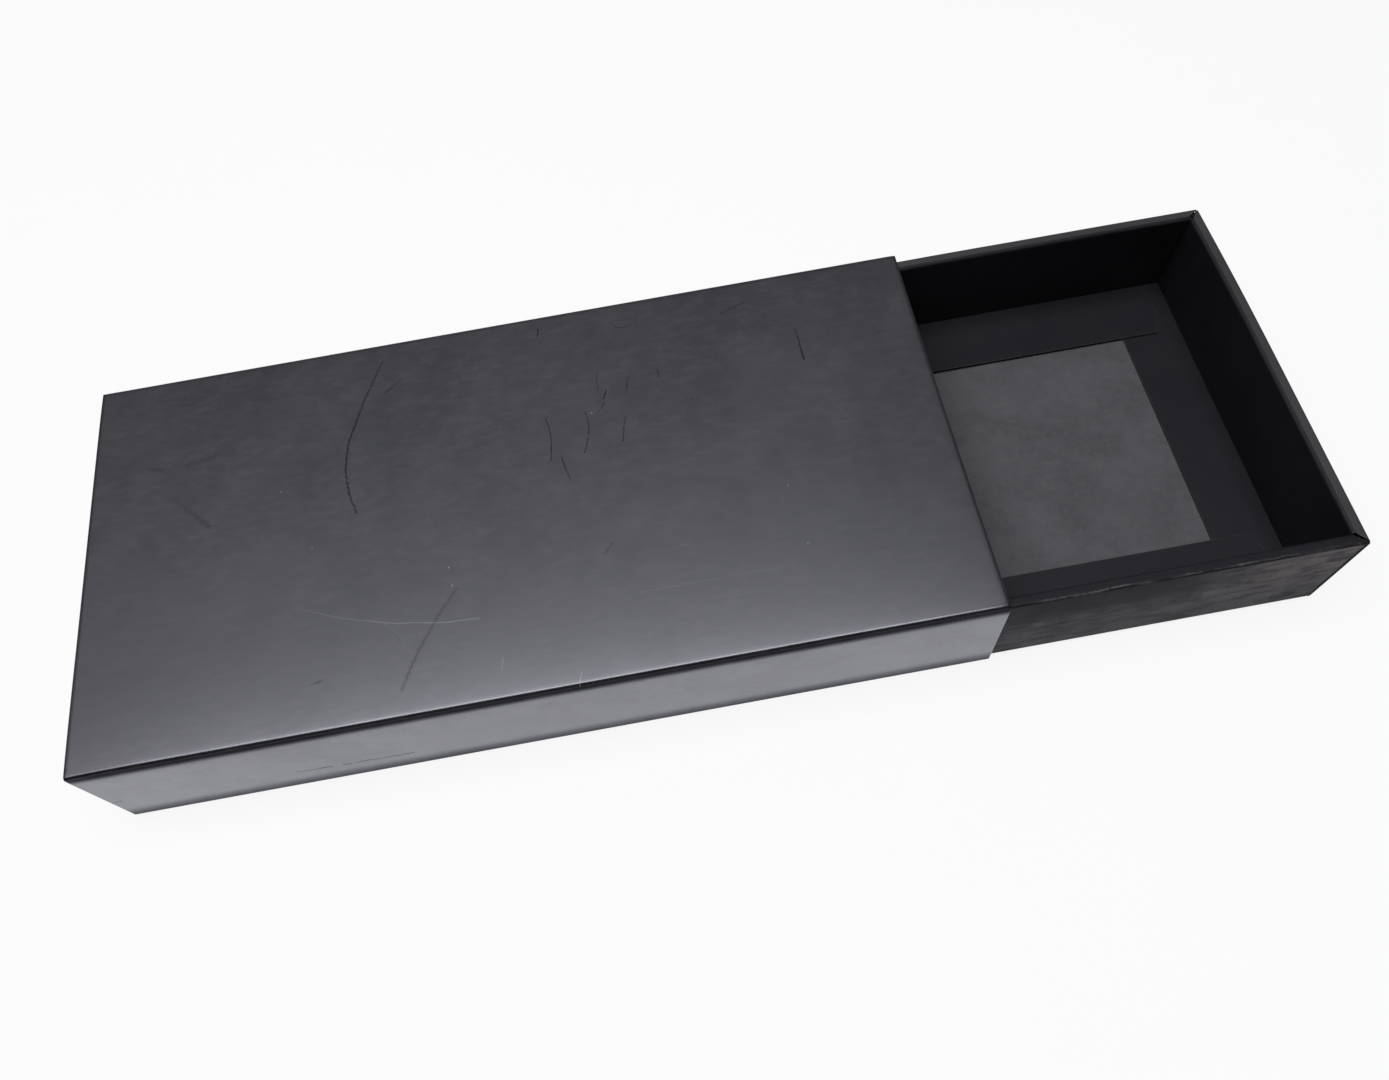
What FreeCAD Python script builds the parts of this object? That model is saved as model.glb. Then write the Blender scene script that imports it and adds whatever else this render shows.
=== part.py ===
import FreeCAD, Part

import math
import os

from collections import namedtuple
from FreeCAD import Matrix, Placement, Vector

# Sliding drawer gift box: a tray that slides in a sleeve open at both ends.
#
# The sleeve and the tray are each one die-cut sheet of black card, creased, folded and tucked or glued.
# A node is one panel of a sheet: the crease that it turns on, and the flat up to the next crease.  Panels of
# a sheet meet face to face, where one panel's flat ends and the next panel's crease begins.
#
# Frame: +X is the way the tray pulls out, +Y the back, +Z up.  The origin is the middle of the sleeve's
# underside.  Everything is in millimetres and degrees.

# ---- card --------------------------------------------------------------------------------------------------
BOARD = 0.5                              # thickness of the card
CREASE_INSIDE = 0.35                     # inside radius of a folded crease
CREASE_MIDDLE = CREASE_INSIDE + BOARD / 2
CREASE_OUTSIDE = CREASE_INSIDE + BOARD
CUT_GAP = 0.1                            # air between a cut edge and the card beside it
QUARTER_TURN = 90.0
FULL_TURN = 360.0

# ---- sleeve ------------------------------------------------------------------------------------------------
SLEEVE_LENGTH = 243.0
SLEEVE_WIDTH = 120.0
SLEEVE_HEIGHT = 36.0
RAW_EDGE_SETBACK = 0.4                   # the bottom panel's cut edge stops this far inside the back face
GLUE_FLAP = 16.0                         # the flap stuck down on the inside of the bottom panel
GLUE_FLAP_TAPER = 4.0                    # what each of its ends loses by the free edge

# ---- tray --------------------------------------------------------------------------------------------------
TRAY_LENGTH = 239.4                      # along the floor; the end walls lean out from there
TRAY_WIDTH = 118.2
TRAY_HEIGHT = 32.6
TRAY_LIFT = 2 * BOARD + CUT_GAP          # the tray runs over the bottom panel and the glue flap
TRAY_PULLED_OUT = 93.2                   # how far its floor reaches out of the sleeve at rest

RIM_SLOPE = 8.0                          # the rims fall towards the cavity, pulled down by the inner walls
MITRE_GAP = 0.2                          # what each rim is cut back from the corner's diagonal
TUCK_BEHIND = 0.4                        # the side inner walls run on behind the end inner walls
CORNER_GAP = 0.15                        # the end inner walls stop short of the side inner walls

CORNER_TAB = 22.0                        # tucked between the two skins of an end wall
CORNER_TAB_TAPER = 5.0
CORNER_TAB_RELIEF = CREASE_OUTSIDE + 0.3  # keeps the tab clear of the creases above and below it

# A hollow wall leans out by lean degrees, and narrows from rim, its width at the top, to foot, its width at
# the floor.  Its flap reaches flap from the foot, loses flap_taper at each end, and lies flap_level above the
# floor panel.  The side walls stand upright, because they slide between the sleeve's walls.
Wall = namedtuple("Wall", "lean rim foot flap flap_taper flap_level")
SIDE = Wall(lean=0.0, rim=3.4, foot=2.2, flap=19.5, flap_taper=7.0, flap_level=2 * BOARD)
END = Wall(lean=4.6, rim=3.6, foot=1.9, flap=18.5, flap_taper=2.0, flap_level=BOARD)
END_LEANS = math.tan(math.radians(END.lean))
END_RISE = (TRAY_HEIGHT - 2 * CREASE_OUTSIDE) * END_LEANS   # how far a rim stands out from the floor's end

# ---- how a section lies in the box --------------------------------------------------------------------------
# Each is (u, v, along): u and v span the section, and the strip's length is along the third.
TOWARDS_FRONT = (Vector(0, -1, 0), Vector(0, 0, 1), Vector(-1, 0, 0))
TOWARDS_BACK = (Vector(0, 1, 0), Vector(0, 0, 1), Vector(1, 0, 0))
TOWARDS_RIGHT = (Vector(1, 0, 0), Vector(0, 0, 1), Vector(0, -1, 0))
TOWARDS_LEFT = (Vector(-1, 0, 0), Vector(0, 0, 1), Vector(0, 1, 0))
SEEN_FROM_ABOVE = (Vector(1, 0, 0), Vector(0, 1, 0), Vector(0, 0, 1))


def direction(degrees):
    """Unit vector in the section, at that angle from u."""
    angle = math.radians(degrees)
    return Vector(math.cos(angle), math.sin(angle), 0)


def left_of(heading):
    """Unit vector a quarter turn anticlockwise from that heading."""
    return direction(heading + QUARTER_TURN)


class FoldedStrip:
    """A sheet of card seen end-on, walked from panel to panel along the middle of its thickness.

    flat and fold return the solid of the panel just walked, and leave the walk where the next one begins.
    A reach is half of a panel's extent along the strip.
    """

    def __init__(self, facing, u, v, heading, centre):
        u_axis, v_axis, along = facing
        self.placement = Placement(Matrix(
            u_axis.x, v_axis.x, along.x, centre.x,
            u_axis.y, v_axis.y, along.y, centre.y,
            u_axis.z, v_axis.z, along.z, centre.z,
            0, 0, 0, 1,
        ))
        self.spot = Vector(u, v, 0)
        self.heading = heading

    def flat(self, length, reach):
        """The sheet's first panel, which has no crease of its own."""
        start = self.spot
        self.spot = start + direction(self.heading) * length
        thickness = left_of(self.heading) * (BOARD / 2)
        corners = [start - thickness, self.spot - thickness, self.spot + thickness, start + thickness]
        return self.extruded(Part.makePolygon(corners + corners[:1]), reach)

    def fold(self, angle, length, reach, edge_reach=None):
        """The panel that turns by angle on a crease, anticlockwise if positive, and then runs flat for length.

        Its reach goes evenly from reach at the outside of the crease to edge_reach at the far edge.
        """
        turn = math.copysign(1.0, angle)
        to_centre = left_of(self.heading) * turn
        centre = self.spot + to_centre * CREASE_MIDDLE
        after = self.heading + angle
        from_centre = left_of(after) * -turn
        halfway = left_of(self.heading + angle / 2) * -turn
        run = direction(after) * length

        def skin(radius):
            """The arc and the line that one face of the card follows."""
            bend_end = centre + from_centre * radius
            arc = Part.Arc(centre - to_centre * radius, centre + halfway * radius, bend_end)
            return [arc.toShape(), Part.LineSegment(bend_end, bend_end + run).toShape()]

        def cut(at, way):
            """The line across the card's thickness."""
            return Part.LineSegment(at + way * CREASE_INSIDE, at + way * CREASE_OUTSIDE).toShape()

        edges = skin(CREASE_INSIDE) + [cut(centre + run, from_centre)]
        edges += skin(CREASE_OUTSIDE) + [cut(centre, -to_centre)]
        outline = Part.Wire(Part.__sortEdges__(edges))
        self.spot = centre + from_centre * CREASE_MIDDLE + run
        self.heading = after
        if edge_reach is None:
            return self.extruded(outline, reach)
        blank = self.blank(centre, after, length, reach, edge_reach)
        return self.extruded(outline, max(reach, edge_reach), blank)

    def blank(self, centre, heading, length, reach, edge_reach):
        """The die-cut shape of a tapered panel, as a plate thick enough to hold its crease."""
        along = direction(heading)
        depth = left_of(heading) * (4 * CREASE_OUTSIDE)
        behind = centre - along * CREASE_OUTSIDE - depth / 2
        beyond = centre + along * length - depth / 2
        across = Vector(0, 0, 1)
        corners = [
            behind - across * reach,
            behind + across * reach,
            beyond + across * edge_reach,
            beyond - across * edge_reach,
        ]
        return Part.Face(Part.makePolygon(corners + corners[:1])).extrude(depth)

    def extruded(self, outline, reach, blank=None):
        """The solid of that section, trimmed to the blank where there is one, in its place in the box."""
        section = Part.Face(outline)
        section.translate(Vector(0, 0, -reach))
        solid = section.extrude(Vector(0, 0, 2 * reach))
        if blank is not None:
            solid = solid.common(blank).Solids[0]
        solid.Placement = self.placement
        return solid


def sleeve_panels():
    """The sleeve's sheet, walked from the bottom panel's cut edge round to the glue flap."""
    reach = SLEEVE_LENGTH / 2
    width = SLEEVE_WIDTH - 2 * CREASE_OUTSIDE
    height = SLEEVE_HEIGHT - 2 * CREASE_OUTSIDE
    cut_edge = SLEEVE_WIDTH / 2 - RAW_EDGE_SETBACK
    sheet = FoldedStrip(TOWARDS_FRONT, -cut_edge, BOARD / 2, 0.0, Vector(0, 0, 0))
    return {
        "sleeve_bottom_panel": sheet.flat(cut_edge + width / 2, reach),
        "sleeve_front_panel": sheet.fold(QUARTER_TURN, height, reach),
        "sleeve_top_panel": sheet.fold(QUARTER_TURN, width, reach),
        "sleeve_back_panel": sheet.fold(QUARTER_TURN, height - BOARD, reach),
        "sleeve_glue_flap": sheet.fold(QUARTER_TURN, GLUE_FLAP, reach, reach - GLUE_FLAP_TAPER),
    }


def hollow_wall(name, facing, outer_face, wall, reaches, centre):
    """A tray wall of two skins: up the outside, over the rim, down the inside and out on the floor.

    reaches holds those of the outer wall, the rim, the inner wall and the flap: one at the crease, and one
    more at the far edge where the panel tapers.
    """
    outer_reaches, rim_reaches, inner_reaches, flap_reaches = reaches
    floor_middle = TRAY_LIFT + BOARD / 2
    sheet = FoldedStrip(facing, outer_face - CREASE_OUTSIDE, floor_middle, 0.0, centre)
    outer_flat = (TRAY_HEIGHT - 2 * CREASE_OUTSIDE) / math.cos(math.radians(wall.lean))
    outer_wall = sheet.fold(QUARTER_TURN - wall.lean, outer_flat, *outer_reaches)
    rim_flat = (wall.rim - 2 * CREASE_OUTSIDE) / math.cos(math.radians(RIM_SLOPE))
    rim = sheet.fold(QUARTER_TURN + wall.lean + RIM_SLOPE, rim_flat, *rim_reaches)

    # The inner wall runs straight from one crease to the next, crossing from the cavity side of the upper one
    # to the far side of the lower one.
    upper = sheet.spot + left_of(sheet.heading) * CREASE_MIDDLE
    lower = Vector(outer_face - wall.foot - CREASE_INSIDE, floor_middle + wall.flap_level + CREASE_MIDDLE, 0)
    between = lower - upper
    length = math.sqrt(between.Length ** 2 - (2 * CREASE_MIDDLE) ** 2)
    downward = math.degrees(math.atan2(between.y, between.x) + math.atan2(2 * CREASE_MIDDLE, length))
    inner_fold = downward % FULL_TURN - sheet.heading
    inner_wall = sheet.fold(inner_fold, length, *inner_reaches)
    flap_fold = 2 * QUARTER_TURN - sheet.heading
    floor_flap = sheet.fold(flap_fold, wall.flap - CREASE_INSIDE, *flap_reaches)
    return {
        name + "_outer_wall": outer_wall,
        name + "_rim": rim,
        name + "_inner_wall": inner_wall,
        name + "_floor_flap": floor_flap,
    }


def side_reaches():
    """Reaches of a long wall's panels, from the tray's middle towards its ends, which lean out."""
    half = TRAY_LENGTH / 2
    outer = half - CREASE_OUTSIDE * (1 + END_LEANS) - (BOARD + CUT_GAP) * math.hypot(1, END_LEANS)
    corner = half + END_RISE - MITRE_GAP
    inner = half + TUCK_BEHIND
    flap = half - END.foot - CREASE_INSIDE - CUT_GAP
    return (
        (outer, outer + (TRAY_HEIGHT - CREASE_OUTSIDE) * END_LEANS),
        (corner, corner - END.rim),
        (inner + END_RISE - END.rim, inner - END.foot),
        (flap, flap - SIDE.flap_taper),
    )


def end_reaches():
    """Reaches of an end wall's panels, from the tray's middle towards its sides."""
    half = TRAY_WIDTH / 2
    corner = half - MITRE_GAP
    inner = half - CORNER_GAP
    flap = half - SIDE.foot - CUT_GAP
    return (
        (half - CUT_GAP,),
        (corner, corner - SIDE.rim),
        (inner - SIDE.rim, inner - SIDE.foot),
        (flap, flap - END.flap_taper),
    )


def corner_tab(side, end, centre):
    """The tab on a long wall's end, turned in behind the end wall's outer skin and leaning as it does.

    side is -1 for the front wall and 1 for the back, end is -1 for the left end and 1 for the right.
    """
    foot_reach = side_reaches()[0][0]
    u = end * (foot_reach + TRAY_HEIGHT / 2 * END_LEANS)
    v = side * (TRAY_WIDTH - BOARD) / 2
    heading = 0.0 if end > 0 else 2 * QUARTER_TURN
    middle = centre + Vector(0, 0, TRAY_LIFT + TRAY_HEIGHT / 2)
    reach = TRAY_HEIGHT / 2 - CORNER_TAB_RELIEF
    sheet = FoldedStrip(SEEN_FROM_ABOVE, u, v, heading, middle)
    tab = sheet.fold(-side * end * QUARTER_TURN, CORNER_TAB, reach, reach - CORNER_TAB_TAPER)
    tab.rotate(middle + Vector(u, 0, 0), Vector(0, 1, 0), end * END.lean)
    return tab


def floor_panel(centre):
    """The middle of the tray's sheet, between its four lowest creases."""
    length = TRAY_LENGTH - 2 * CREASE_OUTSIDE
    width = TRAY_WIDTH - 2 * CREASE_OUTSIDE
    corner = centre + Vector(-length / 2, -width / 2, TRAY_LIFT)
    return Part.makeBox(length, width, BOARD, corner)


def tray_panels():
    """The tray's sheet: the floor panel, a hollow wall on each side of it, and the four corner tabs."""
    centre = Vector(SLEEVE_LENGTH / 2 + TRAY_PULLED_OUT - TRAY_LENGTH / 2, 0, 0)
    panels = {"tray_floor_panel": floor_panel(centre)}
    for name, facing in (("tray_front", TOWARDS_FRONT), ("tray_back", TOWARDS_BACK)):
        panels.update(hollow_wall(name, facing, TRAY_WIDTH / 2, SIDE, side_reaches(), centre))
    for name, facing in (("tray_left_end", TOWARDS_LEFT), ("tray_right_end", TOWARDS_RIGHT)):
        panels.update(hollow_wall(name, facing, TRAY_LENGTH / 2, END, end_reaches(), centre))
    for side, side_name in ((-1, "front"), (1, "back")):
        for end, end_name in ((-1, "left"), (1, "right")):
            panels[f"tray_{side_name}_{end_name}_corner_tab"] = corner_tab(side, end, centre)
    return panels


def main():
    """Write each panel to parts, and say how big it is."""
    os.makedirs("parts", exist_ok=True)
    for name, shape in {**sleeve_panels(), **tray_panels()}.items():
        shape.exportStep(f"parts/{name}.step")
        box = shape.BoundBox
        size = f"{box.XLength:.2f} x {box.YLength:.2f} x {box.ZLength:.2f}"
        print(f"{name}: {size} mm, {shape.Volume:.0f} mm3, valid {shape.isValid()}")


main()
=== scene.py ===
"""Looks of the sliding drawer gift box: two folded sheets of black card, and a plain studio round them.

The sleeve and the tray are each walked round their creases, panel by panel, as their sheets are folded.
A panel starts as a flat grid, its crease is spun from the grid's near edge, its tapers are cut, and it is
then given the card's thickness.  Everything is in metres: +X is the way the tray pulls out, +Y the back,
+Z up, and the origin is the middle of the sleeve's underside.
"""
import logging
import math
from collections.abc import Callable, Iterable, Sequence
from dataclasses import dataclass, field, replace
from enum import Enum
from typing import NamedTuple

import bpy
import numpy as np
from mathutils import Matrix, Vector


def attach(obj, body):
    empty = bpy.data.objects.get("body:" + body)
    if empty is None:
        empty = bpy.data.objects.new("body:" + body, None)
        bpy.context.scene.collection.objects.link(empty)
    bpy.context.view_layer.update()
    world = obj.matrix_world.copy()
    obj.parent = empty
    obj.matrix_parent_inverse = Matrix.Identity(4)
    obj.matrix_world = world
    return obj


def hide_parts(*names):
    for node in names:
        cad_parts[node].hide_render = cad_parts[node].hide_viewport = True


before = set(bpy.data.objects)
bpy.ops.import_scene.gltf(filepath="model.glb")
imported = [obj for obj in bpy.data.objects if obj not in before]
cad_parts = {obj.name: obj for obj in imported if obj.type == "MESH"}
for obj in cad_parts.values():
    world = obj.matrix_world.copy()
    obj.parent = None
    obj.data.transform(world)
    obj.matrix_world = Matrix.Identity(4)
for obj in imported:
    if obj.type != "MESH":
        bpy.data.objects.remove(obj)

LOG = logging.getLogger("gift_box")
MM = 0.001
QUARTER_TURN, HALF_TURN, FULL_TURN = math.radians(90), math.radians(180), math.radians(360)
SMOOTH_BELOW = math.radians(50)          # the angle between faces that are still shaded as one
FAR_AWAY = 1.0                           # the distance noted where a panel has no such edge

Colour = tuple[float, float, float]
Socket = bpy.types.NodeSocket
Settle = Callable[[str, np.ndarray], np.ndarray]
Wave = tuple[float, float, float, float]


class Side(Enum):
    """The faces of a piece of card, in the order of its material slots."""

    PRINTED = 0
    REVERSE = 1
    CUT = 2


class Slot(Enum):
    """The record's material slots."""

    SLEEVE = "black_card"
    TRAY = "tray_card"
    FLOOR = "grey_reverse"


class Body(Enum):
    """The two parts that move against each other."""

    SLEEVE = "sleeve"
    TRAY = "tray"


class Dress(NamedTuple):
    """The materials of a panel: its printed side, its reverse and its cut edges."""

    printed: bpy.types.Material
    reverse: bpy.types.Material
    cut: bpy.types.Material


# ---- working in edit mode ----
def choose(piece: bpy.types.Object) -> None:
    """Makes the piece the only selected object, and the active one.

    Args:
        piece: The object.
    """
    bpy.ops.object.select_all(action="DESELECT")
    piece.select_set(True)
    bpy.context.view_layer.objects.active = piece


def open_with(piece: bpy.types.Object, kind: str, picked: Sequence[bool]) -> None:
    """Opens the piece in edit mode with some of its elements selected.

    Args:
        piece: The object to edit.
        kind: "VERT" or "EDGE".
        picked: Whether each element of that kind is selected, in the mesh's order. It is a finished list
            or array, because edit mode puts the mesh elsewhere in memory.
    """
    choose(piece)
    bpy.ops.object.mode_set(mode="EDIT")
    bpy.ops.mesh.select_mode(type=kind)
    bpy.ops.mesh.select_all(action="DESELECT")
    bpy.ops.object.mode_set(mode="OBJECT")
    elements = {"VERT": piece.data.vertices, "EDGE": piece.data.edges}[kind]
    elements.foreach_set("select", [bool(pick) for pick in picked])
    bpy.ops.object.mode_set(mode="EDIT")


def open_whole(piece: bpy.types.Object) -> None:
    """Opens the piece in edit mode with everything selected.

    Args:
        piece: The object to edit.
    """
    choose(piece)
    bpy.ops.object.mode_set(mode="EDIT")
    bpy.ops.mesh.select_all(action="SELECT")


def close() -> None:
    """Goes back to object mode."""
    bpy.ops.object.mode_set(mode="OBJECT")


def apply_modifier(piece: bpy.types.Object, name: str, kind: str, **settings: object) -> None:
    """Adds a modifier with those settings to the piece and applies it.

    Args:
        piece: The object.
        name: The modifier's name.
        kind: Its type, as Blender names it.
        settings: Its properties.
    """
    choose(piece)
    modifier = piece.modifiers.new(name, kind)
    for key, value in settings.items():
        setattr(modifier, key, value)
    bpy.ops.object.modifier_apply(modifier=modifier.name)


def points_of(piece: bpy.types.Object) -> np.ndarray:
    """The piece's vertices, one row each.

    Args:
        piece: The object.

    Returns:
        Its vertices, three numbers to a row.
    """
    flat = np.empty(3 * len(piece.data.vertices), dtype=np.float32)
    piece.data.vertices.foreach_get("co", flat)
    return flat.reshape(-1, 3).astype(float)


def note(piece: bpy.types.Object, name: str, *columns: np.ndarray) -> None:
    """Keeps three numbers for each vertex, for the materials to read."""
    attribute = piece.data.attributes.new(name, "FLOAT_VECTOR", "POINT")
    attribute.data.foreach_set("vector", np.stack(columns, axis=1).astype(np.float32).ravel())


def waves(x: np.ndarray, y: np.ndarray, trains: Iterable[Wave]) -> np.ndarray:
    """A sum of slanting waves, each given by its height, its lengths along x and y, and its start."""
    return sum(height * np.sin(x / along + y / across + start) for height, along, across, start in trains)


# ---- card ----
@dataclass(frozen=True)
class Card:
    """The card that both sheets are cut from, and how finely it is modelled."""

    thickness: float = 0.5 * MM
    inside: float = 0.35 * MM            # radius on the inside of a folded crease
    gap: float = 0.1 * MM                # air between a cut edge and the card beside it
    cell: float = 2.5 * MM
    crease_step: float = math.radians(7.5)
    rows: tuple[float, ...] = ()         # extra rows of vertices, this far from each end of a flat
    rows_at_cuts: int = 3                # how many of them there are across the crease too
    eased_edge: float = 0.07 * MM
    slack: float = 0.01 * MM             # within which two places count as one

    @property
    def middle(self) -> float:
        """Radius of a crease along the middle of the card."""
        return self.inside + self.thickness / 2

    @property
    def outside(self) -> float:
        """Radius on the outside of a folded crease."""
        return self.inside + self.thickness


@dataclass(frozen=True)
class Panel:
    """One panel of a sheet: the crease that it turns on, and the flat beyond it.

    It is modelled in a frame of its own: x runs from the crease along the flat, y along the crease, and z
    from the flat's level towards the crease's centre, which is the origin.
    """

    name: str
    card: Card
    dress: Dress
    turn: float                          # how far the crease folds, and 0 where there is none
    length: float
    reach: float                         # half of its extent along the crease, at the crease
    edge_reach: float                    # and at its far edge
    joined_near: bool = True
    joined_far: bool = True
    printed_inside: bool = False         # whether it folds towards the printed side
    foot_follows: bool = False           # whether the next panel does

    def build(self) -> bpy.types.Object:
        """Models the panel in its own frame.

        Returns:
            The finished object, with the distances to its creases and cuts noted on its vertices.
        """
        piece = self._flat()
        if self.turn:
            self._spin_crease(piece)
        if self.edge_reach != self.reach:
            self._cut_taper(piece)
        apply_modifier(
            piece, "thickness", "SOLIDIFY", thickness=self.card.thickness, offset=0.0,
            use_even_offset=True, material_offset=Side.REVERSE.value, material_offset_rim=Side.CUT.value,
        )
        self._ease_cut_edges(piece)
        self._note_distances(piece)
        return piece

    def _flat(self) -> bpy.types.Object:
        """The flat, as a grid that faces the printed side.

        Returns:
            The object, still without thickness.
        """
        card, reach = self.card, max(self.reach, self.edge_reach)
        bpy.ops.object.select_all(action="DESELECT")
        bpy.ops.mesh.primitive_grid_add(
            x_subdivisions=max(3, round(self.length / card.cell)),
            y_subdivisions=round(2 * reach / card.cell), size=1.0,
        )
        piece = bpy.context.active_object
        piece.name = piece.data.name = f"{self.name}_card"
        for material in self.dress:
            piece.data.materials.append(material)
        open_whole(piece)
        bpy.ops.transform.resize(value=(self.length, 2 * reach, 1.0), center_override=(0, 0, 0))
        bpy.ops.transform.translate(value=(self.length / 2, 0, -card.middle))
        if not self.printed_inside:
            bpy.ops.mesh.flip_normals()
        cuts = [(place, 0) for row in card.rows for place in (row, self.length - row)]
        cuts += [(0, end * (reach - row)) for row in card.rows[:card.rows_at_cuts] for end in (-1, 1)]
        for x, y in cuts:
            bpy.ops.mesh.select_all(action="SELECT")
            bpy.ops.mesh.bisect(plane_co=(x, y, 0), plane_no=(0, 1, 0) if y else (1, 0, 0))
        close()
        return piece

    def _spin_crease(self, piece: bpy.types.Object) -> None:
        """Spins the crease from the flat's near edge.

        Args:
            piece: The flat, which gets the crease.
        """
        open_with(piece, "VERT", points_of(piece)[:, 0] < self.card.slack)
        steps = max(2, round(self.turn / self.card.crease_step))
        bpy.ops.mesh.spin(steps=steps, angle=-self.turn, center=(0, 0, 0), axis=(0, 1, 0))
        bpy.ops.mesh.select_all(action="SELECT")
        bpy.ops.mesh.normals_make_consistent(inside=False)
        close()
        outermost = max(piece.data.polygons, key=lambda face: face.center.x)
        if (outermost.normal.z > 0) != self.printed_inside:
            open_whole(piece)
            bpy.ops.mesh.flip_normals()
            close()

    def _taper_normal(self) -> Vector:
        """The way that the tapered end on the +y side faces."""
        run = self.length + self.card.outside
        return Vector((self.reach - self.edge_reach, run, 0)).normalized()

    def _cut_taper(self, piece: bpy.types.Object) -> None:
        """Cuts both ends from the reach at the crease to the reach at the far edge.

        Args:
            piece: The object to cut.
        """
        across = self._taper_normal()
        for end in (-1, 1):
            open_whole(piece)
            bpy.ops.mesh.bisect(
                plane_co=(self.length, end * self.edge_reach, 0),
                plane_no=(across.x, end * across.y, 0), clear_outer=True,
            )
            close()

    def _is_joint(self, face: bpy.types.MeshPolygon) -> bool:
        """Whether the next or the last panel of the sheet carries on from that face.

        Args:
            face: One of the panel's faces.

        Returns:
            True where the sheet carries on.
        """
        slack, centre = self.card.slack, face.center
        if self.joined_far and centre.x > self.length - slack:
            return True
        start = centre.x * math.cos(self.turn) - centre.z * math.sin(self.turn)
        return self.joined_near and abs(start) < slack and centre.x < slack

    def _ease_cut_edges(self, piece: bpy.types.Object) -> None:
        """Rounds the corners of the cut edges, but not where the sheet carries on.

        Args:
            piece: The object, with its thickness.
        """
        cut, skin = set(), set()
        for face in piece.data.polygons:
            if face.material_index != Side.CUT.value:
                skin.update(face.edge_keys)
            elif not self._is_joint(face):
                cut.update(face.edge_keys)
        corners = cut & skin
        open_with(piece, "EDGE", [edge.key in corners for edge in piece.data.edges])
        bpy.ops.mesh.bevel(offset=self.card.eased_edge, segments=2, affect="EDGES")
        close()

    def _note_distances(self, piece: bpy.types.Object) -> None:
        """Notes how far each vertex is from the creases that stand proud, and from its cuts.

        Args:
            piece: The finished object.
        """
        card = self.card
        x, y, z = points_of(piece).T
        nothing = np.full_like(x, FAR_AWAY)
        along = np.where(x < 0, -np.arctan2(-x, -z) * card.middle, x)
        beyond = self.length - along
        owned = self.turn and not self.printed_inside
        proud = self.joined_far and not self.foot_follows
        own = along + card.middle * self.turn / 2 if owned else nothing
        following = beyond + card.middle * QUARTER_TURN / 2 if proud else nothing
        across = self._taper_normal()
        shrink = across.x * (x - self.length)
        ends = [(self.edge_reach - way * y) * across.y - shrink for way in (-1, 1)]
        edge = nothing if self.joined_far else beyond
        if not self.joined_near:
            edge = np.minimum(edge, along)
        note(piece, "creases", own, following, nothing)
        note(piece, "cuts", *ends, edge)


class Facing(Enum):
    """Which way a strip is walked: the directions u and v of its section, and the direction along it."""

    FRONT = ((0, -1, 0), (0, 0, 1), (-1, 0, 0))
    BACK = ((0, 1, 0), (0, 0, 1), (1, 0, 0))
    RIGHT = ((1, 0, 0), (0, 0, 1), (0, -1, 0))
    LEFT = ((-1, 0, 0), (0, 0, 1), (0, 1, 0))
    ABOVE = ((1, 0, 0), (0, 1, 0), (0, 0, 1))


def heading_vector(heading: float) -> Vector:
    """Unit vector in a section, at that angle from u."""
    return Vector((math.cos(heading), math.sin(heading), 0))


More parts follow.
